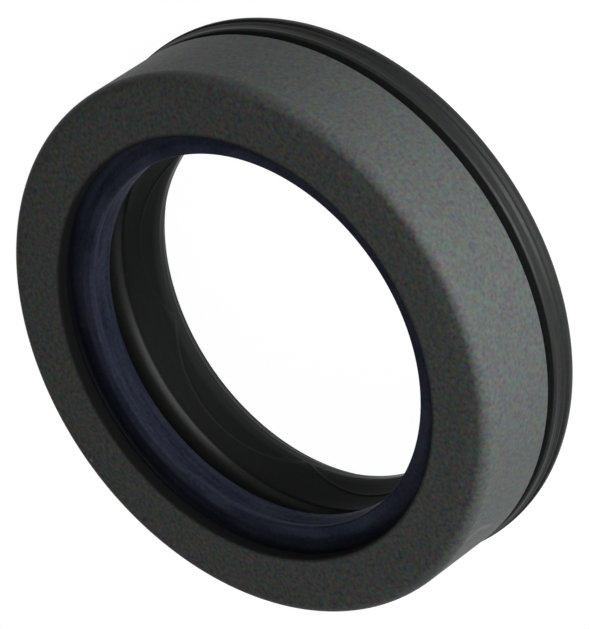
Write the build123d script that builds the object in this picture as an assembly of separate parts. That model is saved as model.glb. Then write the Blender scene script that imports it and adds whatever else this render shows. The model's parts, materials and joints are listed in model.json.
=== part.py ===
from build123d import *
import math
import os

# Combination radial shaft seal, in millimetres.
# It lies on its oil side: Z = 0 is the rear rubber face, and +Z is the shaft axis towards the air side.
# Every piece is a ring turned from its section, and the rubber body carries arched ribs on its lip.

# ---- Driving dimensions -------------------------------------------------------------------------
shaft_diameter = 46.0        # shaft that runs in the two lips
section_depth = 9.5          # from the shaft's surface out to the housing's bore
body_width = 8.1             # rubber body, rear face to front face
wiper_width = 7.5            # wiper ring, between the rubber body and the front plate
sheet = 1.4                  # steel of the outer case, skirt and front plate alike

# Outer case
case_press = 0.075           # radial interference of the case in its housing
case_skirt = 3.0             # how far the case reaches down over the rubber body
case_corner = 1.65           # rounding between the front plate and the skirt
opening_clearance = 2.37     # from the shaft out to the edge of the front plate's opening

# Wiper ring
wiper_press = 0.5            # radial interference of the wiper's two edges on the shaft
wiper_recess = 0.65          # its front edge lies this far behind the plate
wiper_face = 2.2             # radial run of the lip's face, from its edge to the trough that frees it
wiper_trough = 0.6           # fall of the face over that run
wiper_flank = 1.0            # radial run of the trough's outer flank, up to the plate
wiper_edge_pitch = 3.4       # from the front edge to the rear edge along the bore
wiper_groove = 0.45          # depth of the shallow groove between the two edges
wiper_groove_place = 1.7     # groove bottom, measured back from the front edge
wiper_web = 1.9              # thickness of the flat web between the head and the collar
wiper_head = 1.0             # radial run of the head's back, from the rear edge up to the web
wiper_collar = 1.9           # wall of the collar that stands on the rubber body

# Steel insert bonded into the rubber body
insert_sheet = 1.0
insert_flange = 4.5          # radial length of the flange
insert_cover = 0.475         # rubber outside the leg
insert_front_cover = 0.7     # rubber in front of the flange
insert_lift = 0.8            # the leg's free edge stays this far above the rear face

# Main lip
lip_press = 0.6              # radial interference of the sealing edge on the shaft
lip_height = 2.6             # front end of the sealing land above the rear face
land_length = 0.75           # cylindrical land of the sealing edge
air_angle = 21.0             # slope of the lip's air side, in degrees to the axis
oil_angle = 32.0             # slope of the lip's oil side
tail_gap = 0.5               # the lip's tail stays this far above the rear face
throat_bevel = 1.0           # height of the bevel from the body's front face into the air side
throat_reach = 1.55          # radial run of the same bevel
web_thickness = 1.15         # flexible web between the lip's head and the flange

# Garter spring and its groove behind the sealing edge
coil_diameter = 2.2
spring_gap = 0.02            # between the coil and its groove
head_wall = 1.55             # rubber between the sealing land and the groove
groove_rise = 0.05           # spring's centre above the front end of the sealing land
nib_reach = 0.7              # rubber behind the spring, out past its centre
shoulder_reach = 0.35        # rubber in front of the spring, out past its centre
shoulder_wall = 0.85         # from the groove up to where the web begins

# Pumping ribs on the air side of the main lip
rib_count = 6
rib_reach = 2.65             # height of each arch above the sealing land
rib_width = 0.32
rib_height = 0.16            # at the arch's peak; the feet run out at the sealing edge

# Outside of the rubber body
bead_press = 0.375           # radial interference of the rear bead in the housing
neck_length = 1.15           # recessed neck between the case's edge and the front bead
front_bead_width = 2.25      # from the neck down to the bottom of the V groove
front_bead_drop = 0.12       # the front bead is this much lower than the rear one
bead_groove = 0.4            # depth of the fine V groove between the two beads

fit_gap = 0.02               # radial gap between the case and what is pressed into it

# Small round sections are turned as narrow flats.
corner_flats = 2             # across a rounded corner
coil_flats = 6               # all the way round the coil

# ---- Derived sizes ------------------------------------------------------------------------------
shaft_radius = shaft_diameter / 2
housing_radius = shaft_radius + section_depth
seal_width = body_width + wiper_width + sheet
plate_back = seal_width - sheet
case_radius = housing_radius + case_press
case_bore = case_radius - sheet
case_end = body_width - case_skirt
core_radius = case_bore - fit_gap
bead_radius = housing_radius + bead_press

insert_outer = core_radius - insert_cover
insert_inner = insert_outer - insert_sheet
flange_inner = insert_outer - insert_flange
flange_top = body_width - insert_front_cover
flange_under = flange_top - insert_sheet

lip_radius = shaft_radius - lip_press
air_slope = math.tan(math.radians(air_angle))
groove_radius = coil_diameter / 2 + spring_gap
spring_radius = lip_radius + head_wall + groove_radius
spring_height = lip_height + groove_rise


def on_air_side(height):
    """Radius of the lip's air side at a height above the rear face."""
    return lip_radius + (height - lip_height) * air_slope


def turned(points):
    """Ring turned about the shaft axis from the (radius, height) corners of its section."""
    corners = [Vector(radius, 0, height) for radius, height in points]
    return revolve(make_face(Polyline(*corners, close=True)), axis=Axis.Z)


def rounded(radius, height, rounding, inwards):
    """Points along the rounding of an outside corner; inwards is 1 below the ring and -1 above it."""
    points = []
    for step in range(corner_flats + 1):
        angle = math.pi / 2 * step / corner_flats
        points.append((
            radius - rounding * (1 - math.sin(angle)),
            height + inwards * rounding * (1 - math.cos(angle)),
        ))
    return points


def make_outer_case():
    """Deep-drawn steel cup: flat front plate with a round opening, and a plain skirt."""
    opening_radius = shaft_radius + opening_clearance
    return turned(rounded(case_radius, seal_width, case_corner, -1) + [
        (case_radius, case_end),
        (case_bore, case_end),
        (case_bore, plate_back),
        (opening_radius, plate_back),
        (opening_radius, seal_width),
    ])


def make_wiper_ring():
    """Dust wiper: a collar seated in the case, and a lip with two wiping edges, freed by a trough."""
    edge = shaft_radius - wiper_press
    front = plate_back - wiper_recess
    collar_inner = core_radius - wiper_collar
    trough = edge + wiper_face
    return turned([
        (core_radius, body_width),
        (core_radius, plate_back),
        (trough + wiper_flank, plate_back),
        (trough, front - wiper_trough),
        (edge, front),
        (edge + wiper_groove, front - wiper_groove_place),
        (edge, front - wiper_edge_pitch),
        (edge + wiper_head, front - wiper_web),
        (collar_inner, front - wiper_web),
        (collar_inner, body_width),
    ])


def make_insert_ring():
    """Pressed steel ring of L section that stiffens the rubber body."""
    return turned([
        (insert_outer, insert_lift),
        (insert_outer, flange_top),
        (flange_inner, flange_top),
        (flange_inner, flange_under),
        (insert_inner, flange_under),
        (insert_inner, insert_lift),
    ])


def make_garter_spring():
    """Outer form of the close-wound spring ring."""
    coil = RegularPolygon(coil_diameter / 2, coil_flats)
    return revolve(Plane(origin=(spring_radius, 0, spring_height), z_dir=(0, -1, 0)) * coil, axis=Axis.Z)


def make_rubber_ring():
    """Rubber body turned from one section: main lip, web, insert seat and outside beads."""
    throat_end = body_width - throat_bevel
    land_end = lip_height - land_length
    tail_start = lip_radius + (land_end - tail_gap) * math.tan(math.radians(oil_angle))
    lip = [
        (core_radius, body_width),
        (on_air_side(throat_end) + throat_reach, body_width),
        (on_air_side(throat_end), throat_end),
        (lip_radius, lip_height),
        (lip_radius, land_end),
        (tail_start, tail_gap),
    ]

    nib = spring_radius + nib_reach
    groove_bottom = spring_height - groove_radius
    groove_top = spring_height + groove_radius
    groove_wall = spring_radius - groove_radius
    spring_groove = [
        (nib, tail_gap),
        (nib, groove_bottom),
        (groove_wall, groove_bottom),
        (groove_wall, groove_top),
        (spring_radius + shoulder_reach, groove_top),
    ]

    web_offset = web_thickness / math.cos(math.radians(air_angle))
    web_start = groove_top + shoulder_wall
    web = [
        (on_air_side(web_start) + web_offset, web_start),
        (on_air_side(flange_under) + web_offset, flange_under),
    ]

    insert_seat = [
        (flange_inner, flange_under),
        (flange_inner, flange_top),
        (insert_outer, flange_top),
        (insert_outer, 0),
    ]

    front_bead = bead_radius - front_bead_drop
    front_bead_top = case_end - neck_length
    groove_height = front_bead_top - front_bead_width
    rear_bead = rounded(bead_radius, 0, groove_height - bead_groove, 1)
    beads = rear_bead + [
        (bead_radius - bead_groove, groove_height),
        (front_bead, groove_height + bead_groove - front_bead_drop),
        (front_bead, front_bead_top),
        (core_radius, front_bead_top),
    ]
    return turned(lip + spring_groove + web + insert_seat + beads)


def make_pumping_ribs():
    """Low arched ribs on the lip's air side, foot to foot round the sealing edge."""
    peak = lip_height + rib_reach
    skin = turned([
        (lip_radius, lip_height),
        (on_air_side(peak) - rib_height, peak),
        (on_air_side(peak) + rib_height, peak),
        (lip_radius + rib_height, lip_height),
    ])
    foot = lip_radius * math.sin(math.pi / rib_count)
    foot_under = lip_height - rib_width
    arch = make_face([
        ThreePointArc((-foot, lip_height), (0, peak), (foot, lip_height)),
        Line((foot, lip_height), (foot, foot_under)),
        ThreePointArc((foot, foot_under), (0, peak - rib_width), (-foot, foot_under)),
        Line((-foot, foot_under), (-foot, lip_height)),
    ])
    ribs = []
    for number in range(rib_count):
        outward = Plane.YZ.rotated((0, 0, 360 * number / rib_count))
        ribs.append(skin & extrude(outward * arch, amount=lip_radius + section_depth))
    return ribs


def make_rubber_body():
    """Moulded rubber body with its pumping ribs."""
    body = make_rubber_ring()
    for rib in make_pumping_ribs():
        body += rib
    return body


pieces = {
    "outer_case": make_outer_case(),
    "wiper_ring": make_wiper_ring(),
    "rubber_body": make_rubber_body(),
    "insert_ring": make_insert_ring(),
    "garter_spring": make_garter_spring(),
}
os.makedirs("parts", exist_ok=True)
for name, piece in pieces.items():
    export_step(piece, f"parts/{name}.step")
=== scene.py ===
import json
import math

import bpy
import numpy as np
from mathutils import Euler, Matrix, Vector


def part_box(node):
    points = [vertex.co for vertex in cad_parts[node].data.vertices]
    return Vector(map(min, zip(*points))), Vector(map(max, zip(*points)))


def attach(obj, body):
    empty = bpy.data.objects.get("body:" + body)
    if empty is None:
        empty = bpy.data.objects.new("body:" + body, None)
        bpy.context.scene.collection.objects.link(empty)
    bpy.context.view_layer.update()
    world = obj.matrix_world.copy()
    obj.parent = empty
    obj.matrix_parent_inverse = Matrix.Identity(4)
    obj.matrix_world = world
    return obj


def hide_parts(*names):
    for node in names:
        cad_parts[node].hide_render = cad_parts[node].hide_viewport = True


# Radial shaft seal: the looks of its five rings, a floor, soft light and the camera.
# Sections are lists of (radius, height, rounding) corners in millimetres. The meshes are in metres.

MM = 0.001
BODY = "root"

# ---- Sizes read from the frame ------------------------------------------------------------------
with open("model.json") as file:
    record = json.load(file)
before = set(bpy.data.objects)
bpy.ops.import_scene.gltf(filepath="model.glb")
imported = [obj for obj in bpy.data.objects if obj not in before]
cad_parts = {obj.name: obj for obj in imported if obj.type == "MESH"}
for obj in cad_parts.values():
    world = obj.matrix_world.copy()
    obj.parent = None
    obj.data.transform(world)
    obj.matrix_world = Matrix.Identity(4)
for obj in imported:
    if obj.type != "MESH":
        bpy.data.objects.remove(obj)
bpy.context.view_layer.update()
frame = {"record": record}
mounts = {mount["name"]: mount for mount in frame["record"]["mounts"]}


def node_size(node):
    """(outer radius, lowest height, highest height) of a turned CAD node, in millimetres."""
    low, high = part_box(node)
    return high.x / MM, low.z / MM, high.z / MM


case_radius, case_end, seal_width = node_size("outer_case")
core_radius, body_width, plate_back = node_size("wiper_ring")
bead_radius, rear, _ = node_size("rubber_body")
insert_outer, insert_lift, flange_top = node_size("insert_ring")
_, coil_low, coil_high = node_size("garter_spring")
lip_radius = mounts["shaft_bore"]["dims"]["r_mm"]
land_length = mounts["shaft_bore"]["dims"]["length_mm"]
lip_height = mounts["shaft_bore"]["pos_m"][2] / MM + land_length / 2
coil_diameter = coil_high - coil_low
spring_height = (coil_low + coil_high) / 2

# ---- Sizes of the case --------------------------------------------------------------------------
sheet = seal_width - plate_back
case_corner = 1.4            # rounding between the front plate and the skirt
corner_fall = 0.4            # the plate falls this much from its opening to its corner
shoulder_fall = 0.15         # the part of it before the soft shoulder near the corner
shoulder_run = 2.6           # from the shoulder out to the skirt
shoulder_rounding = 3.0
opening_radius = 25.37
plate_edge = 0.25            # rounding of the opening's two edges
skirt_edge = 0.12            # rounding of the skirt's free edge

# Wear on the coat: a pale streak up the skirt, as (azimuth from +X in degrees, height) corners, and
# a nick on the case's corner, as a point. Each fades out over its reach.
streak = [
    (-144.6, 10.4), (-143.3, 11.7), (-142.1, 12.9), (-142.1, 13.7), (-142.8, 14.4), (-142.6, 15.7),
]
streak_reach = 0.5
nick = (-10.31, 29.29, 16.72)
nick_reach = 0.3

# ---- Sizes of the wiper -------------------------------------------------------------------------
wiper_edge = 22.5            # radius of its front and rear edges
wiper_recess = 0.65          # its front edge lies this far behind the plate
wiper_front = plate_back - wiper_recess
wiper_face = 23.7            # radius where the lip's front face ends and falls into the trough
wiper_trough = 24.9          # radius where the trough's bottom starts
wiper_flank = 26.3           # radius of the trough's outer flank, up to the plate
wiper_depth = 0.6            # depth of the trough below the front edge
wiper_groove = 0.24          # depth of the shallow groove between the two edges
wiper_head = 1.0             # radial run of the head's back, from the rear edge up to the web
wiper_collar = 1.9           # wall of the collar
flank_lean = 0.1             # the trough's flank leans outwards by this much up to the plate
trough_rise = 0.05           # the trough's bottom rises by this much towards the lip
face_fall = 0.05             # the lip's face falls by this much towards the trough
edge_inwards = 0.12          # the front edge's corner before its rounding, inwards from the edge
edge_forwards = 0.08         # and in front of it

# Places along the wiper, measured back from its front edge
wiper_groove_place = 1.15
wiper_land_place = 2.45      # start of the rear edge's land
wiper_rear_place = 3.55      # the rear edge
wiper_web_place = 1.9        # back of the web

# ---- Sizes of the insert ------------------------------------------------------------------------
insert_sheet = 1.0
flange_inner = 26.18
flange_under = flange_top - insert_sheet
insert_inner = insert_outer - insert_sheet

# ---- Sizes of the rubber body -------------------------------------------------------------------
air_angle = math.radians(21)     # of the lip's air side to the axis
air_slope = math.tan(air_angle)
oil_slope = math.tan(math.radians(32))
throat_bevel = 0.965         # height of the bevel from the front face into the air side
throat_slope = math.tan(math.radians(50))
throat_rounding = 2.2        # between the front face and the bevel
tail_gap = 0.5               # the lip's tail stays this far above the rear face
head_wall = 1.55             # rubber between the sealing land and the spring's groove
shoulder_wall = 0.85         # from the spring's groove up to where the web begins
web_thickness = 1.15
web_offset = web_thickness / math.cos(air_angle)
spring_groove = 1.12         # half the groove's width, round the coil
nib_reach = 0.7              # rubber behind the spring, out past its centre
shoulder_reach = 0.35        # rubber in front of the spring, out past its centre
spring_radius = lip_radius + head_wall + spring_groove
neck_length = 1.3            # recessed neck between the case's edge and the front bead
groove_height = 1.7          # the V groove between the two outside beads
groove_depth = 0.3
groove_to_front = 0.14       # from its bottom up to the front bead's edge
groove_to_rear = 0.24        # and down to the rear bead's

# Front bead, as (fall from its radius, height, rounding) corners
front_bead_drop = 0.12       # the front bead is this much lower than the rear one
front_bead = bead_radius - front_bead_drop
bead_crown = [(0.12, groove_to_front, 0.08), (0.0, 0.4, 0.25), (0.2, 0.85, 0.5), (0.22, 1.4, 0.4)]
bead_shoulder = [(0.12, -0.3, 0.3), (0.3, 0.0, 0.2)]     # measured from the bead's top
shoulder_rise = 0.15         # of the bead's upper side, up to the neck

# ---- Ribs on the lip's air side -----------------------------------------------------------------
rib_count = 6
rib_peak = 5.09              # height of the arch's middle line at its peak
rib_foot = 2.62              # and between two arches
rib_half_width = 0.25
rib_height = 0.1
rib_power = 1.5              # shapes the rib's rounded section
rib_rows_across = 13
row_gap = 0.012              # the least height between rows of points where two arches meet

SEGMENTS = 576               # round the turned pieces, apart from the hidden insert
INSERT_SEGMENTS = 384
ARC_STEP = math.radians(15)  # the longest step along a rounding, apart from the case's
CASE_STEP = math.radians(9)


# ---- Meshes -------------------------------------------------------------------------------------
def unit(vector):
    return vector / np.linalg.norm(vector)


def rounded(corners, step=ARC_STEP):
    """Closed section, as (radius, height) points, with each corner rounded by an arc."""
    points = []
    count = len(corners)
    for number, (radius, height, rounding) in enumerate(corners):
        here = np.array((radius, height))
        if rounding == 0:
            points.append(here)
            continue
        back = unit(np.array(corners[number - 1][:2]) - here)
        ahead = unit(np.array(corners[(number + 1) % count][:2]) - here)
        half = math.acos(float(np.clip(back @ ahead, -1, 1))) / 2
        reach = rounding / math.tan(half)
        centre = here + unit(back + ahead) * rounding / math.sin(half)
        start = here + back * reach - centre
        end = here + ahead * reach - centre
        turn = math.pi - 2 * half
        steps = max(2, math.ceil(turn / step))
        for index in range(steps + 1):
            share = index / steps
            arc = math.sin((1 - share) * turn) * start + math.sin(share * turn) * end
            points.append(centre + arc / math.sin(turn))
    return np.array(points)


def closed_mesh(name, grid, material, node):
    """Mesh of a grid of points that closes on itself both ways, facing outwards."""
    rows, columns = grid.shape[:2]
    following = np.roll(grid, -1, axis=0)
    volume = np.einsum("ijk,ijk->", grid, np.cross(np.roll(grid, -1, axis=1), following))
    if volume < 0:
        grid = grid[::-1]
    vertices = grid.reshape(-1, 3)
    index = np.arange(rows * columns).reshape(rows, columns)
    right = np.roll(index, -1, axis=1)
    above = np.roll(index, -1, axis=0)
    faces = np.stack([index, right, np.roll(right, -1, axis=0), above], axis=-1)
    mesh = bpy.data.meshes.new(name)
    mesh.from_pydata(vertices.tolist(), [], faces.reshape(-1, 4).tolist())
    mesh.shade_smooth()

    # each point's normal follows its faces by their area: a flat stays flat beside a rounding
    corner = vertices[faces]
    area = np.cross(corner[:, :, 2] - corner[:, :, 0], corner[:, :, 3] - corner[:, :, 1])
    beside = area + np.roll(area, 1, axis=0)
    normals = (beside + np.roll(beside, 1, axis=1)).reshape(-1, 3)
    mesh.normals_split_custom_set_from_vertices(normals / np.linalg.norm(normals, axis=1)[:, None])

    piece = bpy.data.objects.new(name, mesh)
    bpy.context.scene.collection.objects.link(piece)
    mesh.materials.append(material)
    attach(piece, BODY)
    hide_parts(node)
    return piece


def turned(section, segments=SEGMENTS):
    """Grid of a section turned about Z. The section may also be given angle by angle."""
    angles = np.arange(segments) * 2 * math.pi / segments
    if section.ndim == 2:
        section = np.repeat(section[:, None, :], segments, axis=1)
    radius = section[:, :, 0]
    height = section[:, :, 1]
    return np.stack([radius * np.cos(angles), radius * np.sin(angles), height], axis=-1) * MM


# ---- Materials ----------------------------------------------------------------------------------
PLASTIC_IOR = 1.45           # of the coat, the polyurethane and the rubber
BLOT = 0.45                  # size of the blots in their mottling, in millimetres


class Finish:
    """A procedural material, with short calls for the nodes that it is made of."""

    def __init__(self, name, **settings):
        self.material = bpy.data.materials.new(name)
        self.material.use_nodes = True
        self.nodes = self.material.node_tree.nodes
        self.links = self.material.node_tree.links
        self.shader = self.nodes["Principled BSDF"]
        self.place = self.nodes.new("ShaderNodeTexCoord").outputs["Object"]
        for socket, value in settings.items():
            self.shader.inputs[socket.replace("_", " ")].default_value = value

    def link(self, source, target):
        self.links.new(source, target)

    def noise(self, size, detail, stretch=None):
        """Noise with features about size millimetres across."""
        place = self.place
        if stretch:
            mapping = self.nodes.new("ShaderNodeMapping")
            mapping.inputs["Scale"].default_value = stretch
            self.link(place, mapping.inputs["Vector"])
            place = mapping.outputs["Vector"]
        texture = self.nodes.new("ShaderNodeTexNoise")
        texture.inputs["Scale"].default_value = 1 / (size * MM)
        texture.inputs["Detail"].default_value = detail
        self.link(place, texture.inputs["Vector"])
        return texture.outputs["Fac"]

    def ramp(self, value, low, high, dark, light):
        """Value from low to high, taken to a number or a colour from dark to light."""
        if isinstance(dark, tuple):
            ramp = self.nodes.new("ShaderNodeValToRGB")
            first, last = ramp.color_ramp.elements
            first.position = low
            last.position = high
            first.color = (*dark, 1)
            last.color = (*light, 1)
            self.link(value, ramp.inputs["Fac"])
            return ramp.outputs["Color"]
        ramp = self.nodes.new("ShaderNodeMapRange")
        ramp.inputs["From Min"].default_value = low
        ramp.inputs["From Max"].default_value = high
        ramp.inputs["To Min"].default_value = dark
        ramp.inputs["To Max"].default_value = light
        self.link(value, ramp.inputs["Value"])
        return ramp.outputs["Result"]

    def profile(self, value, stops):
        """Number that changes with a value along straight lines between (value, number) stops."""
        low, high = stops[0][0], stops[-1][0]
        curve = self.nodes.new("ShaderNodeValToRGB")
        elements = curve.color_ramp.elements
        while len(elements) < len(stops):
            elements.new(0.5)
        for element, (place, number) in zip(elements, stops):
            element.position = (place - low) / (high - low)
            element.color = (number, number, number, 1)
        self.link(self.ramp(value, low, high, 0.0, 1.0), curve.inputs["Fac"])
        return curve.outputs["Color"]

    def mix(self, share, first, second):
        """Mix of two colours, each a socket or a plain colour."""
        mix = self.nodes.new("ShaderNodeMix")
        mix.data_type = "RGBA"
        self.link(share, mix.inputs["Factor"])
        sockets = [entry for entry in mix.inputs if entry.type == "RGBA"]
        for name, colour in (("A", first), ("B", second)):
            target = [entry for entry in sockets if entry.name == name][0]
            if isinstance(colour, tuple):
                target.default_value = (*colour, 1)
            else:
                self.link(colour, target)
        return [entry for entry in mix.outputs if entry.type == "RGBA"][0]

    def radius(self):
        """Distance from the shaft axis, in millimetres."""
        flat = self.nodes.new("ShaderNodeVectorMath")
        flat.operation = "MULTIPLY"
        flat.inputs[1].default_value = (1 / MM, 1 / MM, 0)
        self.link(self.place, flat.inputs[0])
        length = self.nodes.new("ShaderNodeVectorMath")
        length.operation = "LENGTH"
        self.link(flat.outputs["Vector"], length.inputs[0])
        return length.outputs["Value"]

    def mottled(self, colour, spread):
        """A colour that strays a little either way, channel by channel, in small blots."""
        blots = self.nodes.new("ShaderNodeTexNoise")
        blots.inputs["Scale"].default_value = 1 / (BLOT * MM)
        blots.inputs["Detail"].default_value = 1.5
        self.link(self.place, blots.inputs["Vector"])
        stray = self.nodes.new("ShaderNodeVectorMath")
        stray.operation = "MULTIPLY_ADD"
        stray.inputs[1].default_value = (2 * spread, 2 * spread, 2 * spread)
        stray.inputs[2].default_value = tuple(channel - spread for channel in colour)
        self.link(blots.outputs["Color"], stray.inputs[0])
        return stray.outputs["Vector"]

    def near(self, points, radius):
        """1 at any of some points, in millimetres, falling to 0 at a radius from the nearest."""
        nearest = None
        for point in points:
            distance = self.nodes.new("ShaderNodeVectorMath")
            distance.operation = "DISTANCE"
            distance.inputs[1].default_value = tuple(value * MM for value in point)
            self.link(self.place, distance.inputs[0])
            if nearest is None:
                nearest = distance.outputs["Value"]
                continue
            lesser = self.nodes.new("ShaderNodeMath")
            lesser.operation = "MINIMUM"
            self.link(nearest, lesser.inputs[0])
            self.link(distance.outputs["Value"], lesser.inputs[1])
            nearest = lesser.outputs["Value"]
        return self.ramp(nearest, 0, radius * MM, 1.0, 0.0)

    def bump(self, height, depth, strength):
        """Bump of a depth in millimetres, on top of the bump already there."""
        bump = self.nodes.new("ShaderNodeBump")
        bump.inputs["Distance"].default_value = depth * MM
        bump.inputs["Strength"].default_value = strength
        self.link(height, bump.inputs["Height"])
        normal = self.shader.inputs["Normal"]
        if normal.links:
            self.link(normal.links[0].from_socket, bump.inputs["Normal"])
        self.link(bump.outputs["Normal"], normal)

    def colour(self, socket):
        self.link(socket, self.shader.inputs["Base Color"])

    def roughness(self, socket):
        self.link(socket, self.shader.inputs["Roughness"])


def on_ring(radius, azimuth, height):
    """Point on a ring, at an azimuth from +X in degrees."""
    turn = math.radians(azimuth)
    return radius * math.cos(turn), radius * math.sin(turn), height


def on_skirt(line):
    """Points on the skirt, close to one another, along a line of (azimuth, height) corners."""
    shares = (0.0, 0.33, 0.67)
    points = []
    for (azimuth, height), (next_azimuth, next_height) in zip(line, line[1:]):
        for share in shares:
            points.append(on_ring(
                case_radius,
                azimuth + (next_azimuth - azimuth) * share,
                height + (next_height - height) * share,
            ))
    return points


def case_coat():
    """Matte grey phosphate coat: mottled, with fine grain. Painted shade makes the front plate a
    little darker than the skirt and darkens the opening's edge.
    """
    # The plate's grey is a shaded copy of the skirt's: painted shade on the same coat.
    plate_shaded_grey = (0.116, 0.125, 0.121)
    skirt_grey = (0.127, 0.137, 0.134)
    # Painted shade: near-black on the opening's wall and its rounding.
    opening_shade_black = (0.01, 0.01, 0.011)
    edge_roughness = (0.95, 0.95, 0.95)
    streak_grey = (0.2, 0.213, 0.208)
    nick_grey = (0.4, 0.4, 0.4)
    finish = Finish("case_coat", Metallic=0.0, IOR=PLASTIC_IOR, Specular_IOR_Level=0.08)
    # painted shade round the opening: black on the wall and rounding, fading into the coat outwards
    edge = finish.ramp(finish.radius(), opening_radius + 0.12, opening_radius + 0.6, 0.0, 1.0)
    plate = finish.mottled(plate_shaded_grey, spread=0.13)
    skirt = finish.mottled(skirt_grey, spread=0.095)
    skirt = finish.mix(finish.near(on_skirt(streak), streak_reach), skirt, streak_grey)
    # from the plate's painted shade to the skirt's grey, over the corner
    corner = finish.ramp(finish.radius(), case_radius - 1, case_radius, 0.0, 1.0)
    coat = finish.mix(corner, plate, skirt)
    coat = finish.mix(finish.near([nick], nick_reach), coat, nick_grey)
    finish.colour(finish.mix(edge, opening_shade_black, coat))
    grain = finish.noise(0.22, detail=2)
    roughness = finish.ramp(grain, 0.25, 0.75, 0.5, 0.62)
    finish.roughness(finish.mix(edge, edge_roughness, roughness))
    finish.bump(grain, depth=0.006, strength=0.6)
    return finish.material


def wiper_polyurethane():
    """Satin dark blue polyurethane with faint turning marks round the bore, and painted shade in
    the trough under the plate.
    """
    dark_blue = (0.046, 0.054, 0.096)
    light_blue = (0.078, 0.089, 0.142)
    # Painted shade: near-black blue in the trough under the plate's overhang.
    trough_shade_blue = (0.01, 0.012, 0.019)
    finish = Finish("wiper_polyurethane", Metallic=0.0, IOR=PLASTIC_IOR, Specular_IOR_Level=0.015)
    bands = finish.noise(7.0, detail=2, stretch=(1, 1, 14))
    dark = finish.mottled(dark_blue, spread=0.04)
    light = finish.mottled(light_blue, spread=0.05)
    lip = finish.mix(finish.ramp(bands, 0.35, 0.65, 0.0, 1.0), dark, light)
    # painted shade darkens the trough, from its bottom out to the flank
    trough = finish.ramp(finish.radius(), wiper_trough, wiper_flank, 0.0, 1.0)
    finish.colour(finish.mix(trough, lip, trough_shade_blue))
    marks = finish.noise(2.0, detail=2, stretch=(1, 1, 18))
    finish.roughness(finish.ramp(marks, 0.3, 0.7, 0.38, 0.5))
    finish.bump(marks, depth=0.012, strength=0.5)
    finish.bump(finish.noise(0.12, detail=1), depth=0.002, strength=0.5)
    return finish.material


def body_rubber():
    """Black moulded nitrile rubber: matte on the air side, satin on the rim and in the throat.
    Painted reflection lightens the rim, painted light lightens the throat, and painted shade makes
    the air side darker than the outside.
    """
    # Painted shade: the air side's black is a darker copy of the outside's black, though both are
    # the same rubber.
    air_side_shade_black = (0.0065, 0.0078, 0.0072)
    # Painted reflection: the rim's lighter grey stands for the bright backdrop seen in it.
    rim_reflection_grey = (0.05, 0.056, 0.056)
    # Painted light: the throat's grey stands for light thrown into the gap behind the wiper.
    throat_lit_grey = (0.055, 0.058, 0.055)
    outside_black = (0.022, 0.0238, 0.0232)
    bevel_end = on_air_side(body_width - throat_bevel)
    outside_start = core_radius - 2      # the neck's and the beads' finish sets in from here
    finish = Finish("body_rubber", Metallic=0.0, IOR=PLASTIC_IOR, Specular_IOR_Level=0.12)
    radius = finish.radius()
    inside = finish.mottled(air_side_shade_black, spread=0.006)
    throat = finish.mottled(throat_lit_grey, spread=0.02)
    outside = finish.mottled(outside_black, spread=0.015)
    # painted reflection on the rim, fading out just above the sealing edge
    rim = finish.ramp(radius, lip_radius + 0.03, lip_radius + 0.35, 1.0, 0.0)
    inside = finish.mix(rim, inside, rim_reflection_grey)
    # painted light from the throat's bevel out across the front face
    inside = finish.mix(finish.ramp(radius, bevel_end, bevel_end + 0.6, 0.0, 1.0), inside, throat)
    # the inside's painted shade and light give way to the outside's black
    outer = finish.ramp(radius, outside_start, core_radius, 0.0, 1.0)
    finish.colour(finish.mix(outer, inside, outside))
    finish.roughness(finish.profile(radius, [
        (lip_radius, 0.3),
        (lip_radius + 0.1, 0.66),
        (bevel_end - 0.4, 0.66),
        (bevel_end + 0.1, 0.33),
        (outside_start, 0.4),
        (core_radius, 0.5),
    ]))
    finish.bump(finish.noise(0.16, detail=2), depth=0.003, strength=0.5)
    return finish.material


def insert_steel():
    """Dull phosphated pressed steel."""
    finish = Finish("insert_steel", Metallic=1.0)
    cloud = finish.noise(1.5, detail=3)
    finish.colour(finish.ramp(cloud, 0.3, 0.7, (0.2, 0.2, 0.205), (0.3, 0.3, 0.31)))
    finish.roughness(finish.ramp(cloud, 0.3, 0.7, 0.45, 0.6))
    finish.bump(finish.noise(0.5, detail=2, stretch=(1, 1, 0.15)), depth=0.006, strength=0.5)
    return finish.material


def spring_wire():
    """Drawn spring steel wire."""
    finish = Finish("spring_wire", Metallic=1.0)
    cloud = finish.noise(0.8, detail=2)
    finish.colour(finish.ramp(cloud, 0.3, 0.7, (0.42, 0.42, 0.42), (0.56, 0.56, 0.55)))
    finish.roughness(finish.ramp(cloud, 0.3, 0.7, 0.25, 0.38))
    finish.bump(finish.noise(0.1, detail=1), depth=0.001, strength=0.5)
    return finish.material


# ---- Pieces -------------------------------------------------------------------------------------
def make_case():
    case_bore = case_radius - sheet
    section = rounded([
        (case_radius, seal_width - corner_fall, case_corner),
        (case_radius - shoulder_run, seal_width - shoulder_fall, shoulder_rounding),
        (opening_radius, seal_width, plate_edge),
        (opening_radius, plate_back, plate_edge),
        (case_bore, plate_back, 0.3),
        (case_bore, case_end, 0.1),
        (case_radius, case_end, skirt_edge),
    ], step=CASE_STEP)
    return closed_mesh("case_shell", turned(section), case_coat(), "outer_case")


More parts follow.
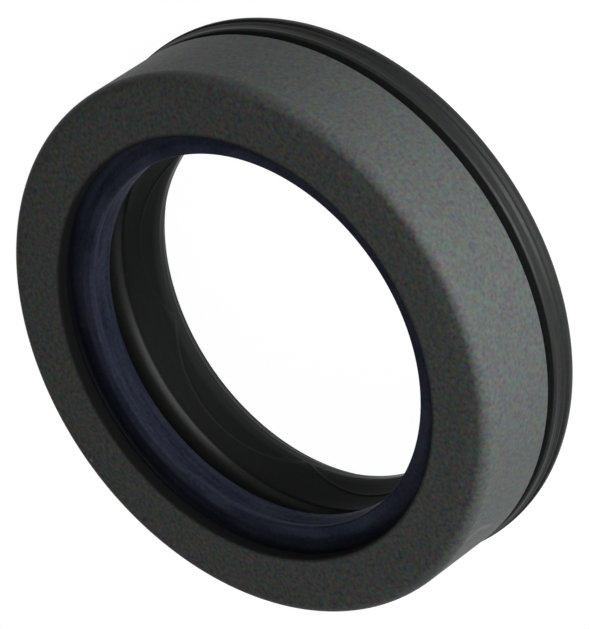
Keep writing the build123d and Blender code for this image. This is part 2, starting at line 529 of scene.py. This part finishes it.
def make_wiper():
    collar_inner = core_radius - wiper_collar
    section = rounded([
        (core_radius, plate_back, 0.1),
        (wiper_flank + flank_lean, plate_back, 0.1),
        (wiper_flank, wiper_front - wiper_depth, 0.55),
        (wiper_trough, wiper_front - wiper_depth + trough_rise, 1.2),
        (wiper_face, wiper_front - face_fall, 0.8),
        (wiper_edge - edge_inwards, wiper_front + edge_forwards, 0.3),
        (wiper_edge + wiper_groove, wiper_front - wiper_groove_place, 0.5),
        (wiper_edge, wiper_front - wiper_land_place, 0.8),
        (wiper_edge, wiper_front - wiper_rear_place, 0.08),
        (wiper_edge + wiper_head, wiper_front - wiper_web_place, 0.4),
        (collar_inner, wiper_front - wiper_web_place, 0.6),
        (collar_inner, body_width, 0.1),
        (core_radius, body_width, 0.1),
    ])
    grid = turned(section)
    return closed_mesh("dust_wiper", grid, wiper_polyurethane(), "wiper_ring")


def make_insert():
    section = rounded([
        (insert_outer, flange_top, 0.0),
        (flange_inner, flange_top, 0.0),
        (flange_inner, flange_under, 0.15),
        (insert_inner, flange_under, 0.5),
        (insert_inner, insert_lift, 0.15),
        (insert_outer, insert_lift, 0.15),
    ])
    grid = turned(section, INSERT_SEGMENTS)
    return closed_mesh("insert_shell", grid, insert_steel(), "insert_ring")


def on_air_side(height):
    """Radius of the lip's air side at a height."""
    return lip_radius + (height - lip_height) * air_slope


def body_section():
    """Section of the rubber body without its ribs."""
    throat_end = body_width - throat_bevel
    land_end = lip_height - land_length
    tail = lip_radius + (land_end - tail_gap) * oil_slope
    groove_top = spring_height + spring_groove
    groove_bottom = spring_height - spring_groove
    web_start = groove_top + shoulder_wall
    bead_top = case_end - neck_length
    front_crown = []
    for base, corners in ((groove_height, bead_crown), (bead_top, bead_shoulder)):
        for fall, height, rounding in corners:
            front_crown.append((front_bead - fall, base + height, rounding))
    return rounded([
        (core_radius, body_width, 0.0),
        (on_air_side(throat_end) + throat_bevel / throat_slope, body_width, throat_rounding),
        (on_air_side(throat_end), throat_end, 0.8),
        (lip_radius, lip_height, 0.04),
        (lip_radius, land_end, 0.03),
        (tail, tail_gap, 0.15),
        (spring_radius + nib_reach, tail_gap, 0.25),
        (spring_radius + nib_reach, groove_bottom, 0.25),
        (spring_radius - spring_groove, groove_bottom, 0.9),
        (spring_radius - spring_groove, groove_top, 0.9),
        (spring_radius + shoulder_reach, groove_top, 0.12),
        (on_air_side(web_start) + web_offset, web_start, 0.5),
        (on_air_side(flange_under) + web_offset, flange_under, 0.3),
        (flange_inner, flange_under, 0.05),
        (flange_inner, flange_top, 0.0),
        (insert_outer, flange_top, 0.0),
        (insert_outer, rear, 0.1),
        (bead_radius, rear, 1.2),
        (bead_radius, groove_height - groove_to_rear, 0.15),
        (bead_radius - groove_depth, groove_height, 0.04),
        *front_crown,
        (core_radius, bead_top + shoulder_rise, 0.25),
    ])


def rib_rows(below, above):
    """Rows of points on the air side, between two section points, that follow the ribs' arches."""
    angles = np.arange(SEGMENTS) * 2 * math.pi / SEGMENTS
    pitch = 2 * math.pi / rib_count
    offset = (angles + pitch / 2) % pitch / (pitch / 2) - 1
    middle = rib_foot + (rib_peak - rib_foot) * (1 - offset ** 2)
    shares_below = (0.33, 0.67)
    shares_above = (0.2, 0.4, 0.6, 0.8)
    ribs = [middle + rib_half_width * place for place in np.linspace(-1, 1, rib_rows_across)]
    heights = [below[1] + (ribs[0] - below[1]) * share for share in shares_below]
    heights += ribs
    heights += [ribs[-1] + (above[1] - ribs[-1]) * share for share in shares_above]
    rows = []
    for number, height in enumerate(heights):
        height = np.maximum(height, below[1] + row_gap * (number + 1))
        raised = np.clip(1 - ((height - middle) / rib_half_width) ** 2, 0, 1) ** rib_power
        foot = np.clip((middle - lip_height) / rib_half_width, 0, 1)
        radius = on_air_side(height) - rib_height * raised * foot
        rows.append(np.stack([radius, height], axis=-1))
    return np.array(rows)


def make_body():
    """Rubber body: its section, with the rows of the ribs put in above the sealing edge."""
    edge_zone = 0.2
    section = body_section()
    by_the_edge = np.all(section < (lip_radius + edge_zone, lip_height + edge_zone), axis=1)
    first = int(np.argmax(by_the_edge))
    rows = rib_rows(section[first], section[first - 1])[::-1]
    still = np.repeat(section[:, None, :], SEGMENTS, axis=1)
    grid = turned(np.concatenate([still[:first], rows, still[first:]]))
    return closed_mesh("rubber_shell", grid, body_rubber(), "rubber_body")


def make_spring():
    """Garter spring: a close-wound coil whose axis is a ring."""
    wire = 0.4
    turns = 384
    steps = 14
    sides = 7
    coil = (coil_diameter - wire) / 2
    count = turns * steps
    around = np.arange(count) * 2 * math.pi / count
    wound = around * turns
    outward = np.stack([np.cos(around), np.sin(around), np.zeros(count)], axis=-1)
    upward = np.array((0.0, 0.0, 1.0))
    spoke = np.cos(wound)[:, None] * outward + np.sin(wound)[:, None] * upward
    centre = spring_radius * outward + np.array((0, 0, spring_height)) + coil * spoke
    along = np.roll(centre, -1, axis=0) - np.roll(centre, 1, axis=0)
    along /= np.linalg.norm(along, axis=1)[:, None]
    aside = np.cross(along, spoke)
    grid = []
    for side in range(sides):
        angle = 2 * math.pi * side / sides
        grid.append(centre + wire / 2 * (math.cos(angle) * spoke + math.sin(angle) * aside))
    grid = np.array(grid) * MM
    return closed_mesh("spring_coil", grid, spring_wire(), "garter_spring")


# ---- Stage, light and camera --------------------------------------------------------------------
camera_elevation = 43.15     # above the plane of the front face, in degrees
camera_azimuth = -71.6       # from +X
camera_distance = 679.9      # from the front face's centre, in millimetres
camera_aim = (0.0103312, -0.0000722)     # turns in radians that bring the centre off the middle
camera_roll = 2.1764867
photo_width = 589
focal_pixels = 6200
sensor = 36.0


def seen_share(nodes, links):
    """1 for camera, glossy and transmission rays, and 0 for the rays that light the object."""
    path = nodes.new("ShaderNodeLightPath")
    seen = path.outputs["Is Camera Ray"]
    for output in ("Is Glossy Ray", "Is Transmission Ray"):
        larger = nodes.new("ShaderNodeMath")
        larger.operation = "MAXIMUM"
        links.new(seen, larger.inputs[0])
        links.new(path.outputs[output], larger.inputs[1])
        seen = larger.outputs["Value"]
    return seen


def make_floor():
    """White floor that lights the object softly from below and keeps its shadow."""
    reach = 3.0
    shown_white = 0.98       # the floor's white before the lamps light it
    bounced_white = 0.27     # the same for the rays that light the object
    paper_grey = 0.16        # the share of the lamps' light that it throws back
    mesh = bpy.data.meshes.new("floor")
    corners = [(-reach, -reach, 0), (reach, -reach, 0), (reach, reach, 0), (-reach, reach, 0)]
    mesh.from_pydata(corners, [], [(0, 1, 2, 3)])
    floor = bpy.data.objects.new("floor", mesh)
    bpy.context.scene.collection.objects.link(floor)
    material = bpy.data.materials.new("floor_white")
    material.use_nodes = True
    nodes = material.node_tree.nodes
    links = material.node_tree.links
    nodes.clear()
    paper = nodes.new("ShaderNodeBsdfDiffuse")
    paper.inputs["Color"].default_value = (paper_grey, paper_grey, paper_grey, 1)
    glow = nodes.new("ShaderNodeEmission")
    strength = nodes.new("ShaderNodeMapRange")
    strength.inputs["To Min"].default_value = bounced_white
    strength.inputs["To Max"].default_value = shown_white
    links.new(seen_share(nodes, links), strength.inputs["Value"])
    links.new(strength.outputs["Result"], glow.inputs["Strength"])
    both = nodes.new("ShaderNodeAddShader")
    links.new(paper.outputs["BSDF"], both.inputs[0])
    links.new(glow.outputs["Emission"], both.inputs[1])
    output = nodes.new("ShaderNodeOutputMaterial")
    links.new(both.outputs["Shader"], output.inputs["Surface"])
    mesh.materials.append(material)


def make_world():
    """Dim room that lights softly, and a white one behind the object."""
    room_colour = (1, 1.0, 0.93, 1)
    room_strength = 0.11
    world = bpy.data.worlds.new("room")
    bpy.context.scene.world = world
    world.use_nodes = True
    nodes = world.node_tree.nodes
    links = world.node_tree.links
    nodes.clear()
    dim = nodes.new("ShaderNodeBackground")
    dim.inputs["Color"].default_value = room_colour
    dim.inputs["Strength"].default_value = room_strength
    white = nodes.new("ShaderNodeBackground")
    white.inputs["Color"].default_value = (1, 1, 1, 1)
    white.inputs["Strength"].default_value = 1.0
    path = nodes.new("ShaderNodeLightPath")
    mix = nodes.new("ShaderNodeMixShader")
    links.new(path.outputs["Is Camera Ray"], mix.inputs["Fac"])
    links.new(dim.outputs["Background"], mix.inputs[1])
    links.new(white.outputs["Background"], mix.inputs[2])
    output = nodes.new("ShaderNodeOutputWorld")
    links.new(mix.outputs["Shader"], output.inputs["Surface"])


def make_light(name, azimuth, elevation, distance, size, power, colour=(1, 1, 1), sheen_only=False):
    """Area light that looks at the seal, or only glints on it. Its azimuth is from the camera's."""
    turn = math.radians(camera_azimuth + azimuth)
    rise = math.radians(elevation)
    target = Vector((0, 0, seal_width / 2 * MM))
    level = math.cos(rise)
    towards = Vector((math.cos(turn) * level, math.sin(turn) * level, math.sin(rise)))
    lamp = bpy.data.lights.new(name, "AREA")
    lamp.shape = "RECTANGLE"
    lamp.size, lamp.size_y = size
    lamp.energy = power
    lamp.color = colour
    light = bpy.data.objects.new(name, lamp)
    light.location = target + towards * distance
    light.rotation_euler = towards.to_track_quat("Z", "Y").to_euler()
    light.visible_camera = False
    light.visible_diffuse = not sheen_only
    bpy.context.scene.collection.objects.link(light)


def make_camera():
    rise = math.radians(camera_elevation)
    turn = Matrix.Rotation(math.radians(camera_azimuth), 3, "Z")
    towards = Vector((math.cos(rise), 0, math.sin(rise)))
    right = (-towards).cross(Vector((0, 0, 1))).normalized()
    axes = Matrix((right, right.cross(-towards), towards))
    aim = Euler((camera_aim[0], camera_aim[1], camera_roll), "XYZ").to_matrix()
    lens = bpy.data.cameras.new("camera")
    lens.sensor_fit = "HORIZONTAL"
    lens.sensor_width = sensor
    lens.lens = focal_pixels / photo_width * sensor
    lens.clip_start = 0.01
    camera = bpy.data.objects.new("camera", lens)
    rotation = turn @ (aim @ axes).transposed()
    place = turn @ (towards * camera_distance * MM) + Vector((0, 0, seal_width * MM))
    camera.matrix_world = Matrix.Translation(place) @ rotation.to_4x4()
    bpy.context.scene.collection.objects.link(camera)
    bpy.context.scene.camera = camera


make_case()
make_wiper()
make_body()
make_insert()
make_spring()
make_floor()
make_world()
# name, azimuth and elevation in degrees, distance and size in metres, power in watts
make_light("key", -20, 1, 0.16, (0.09, 0.03), 0.14, colour=(0.97, 1.0, 1.0))
make_light("fill", -25, 18, 0.5, (0.3, 0.2), 0.5)
make_light("back", -140, 45, 0.5, (0.4, 0.3), 0.28)
make_light("glint", -12, 3, 0.2, (0.06, 0.02), 0.5, sheen_only=True)
make_light("window", -5, 43, 0.4, (0.5, 0.24), 3.4, sheen_only=True)
make_light("window_left", -70, 38, 0.4, (0.3, 0.16), 0.35, sheen_only=True)
make_light("window_right", 70, 38, 0.4, (0.3, 0.16), 0.15, sheen_only=True)
make_camera()
bpy.context.scene.view_settings.view_transform = "Standard"

bpy.context.view_layer.update()
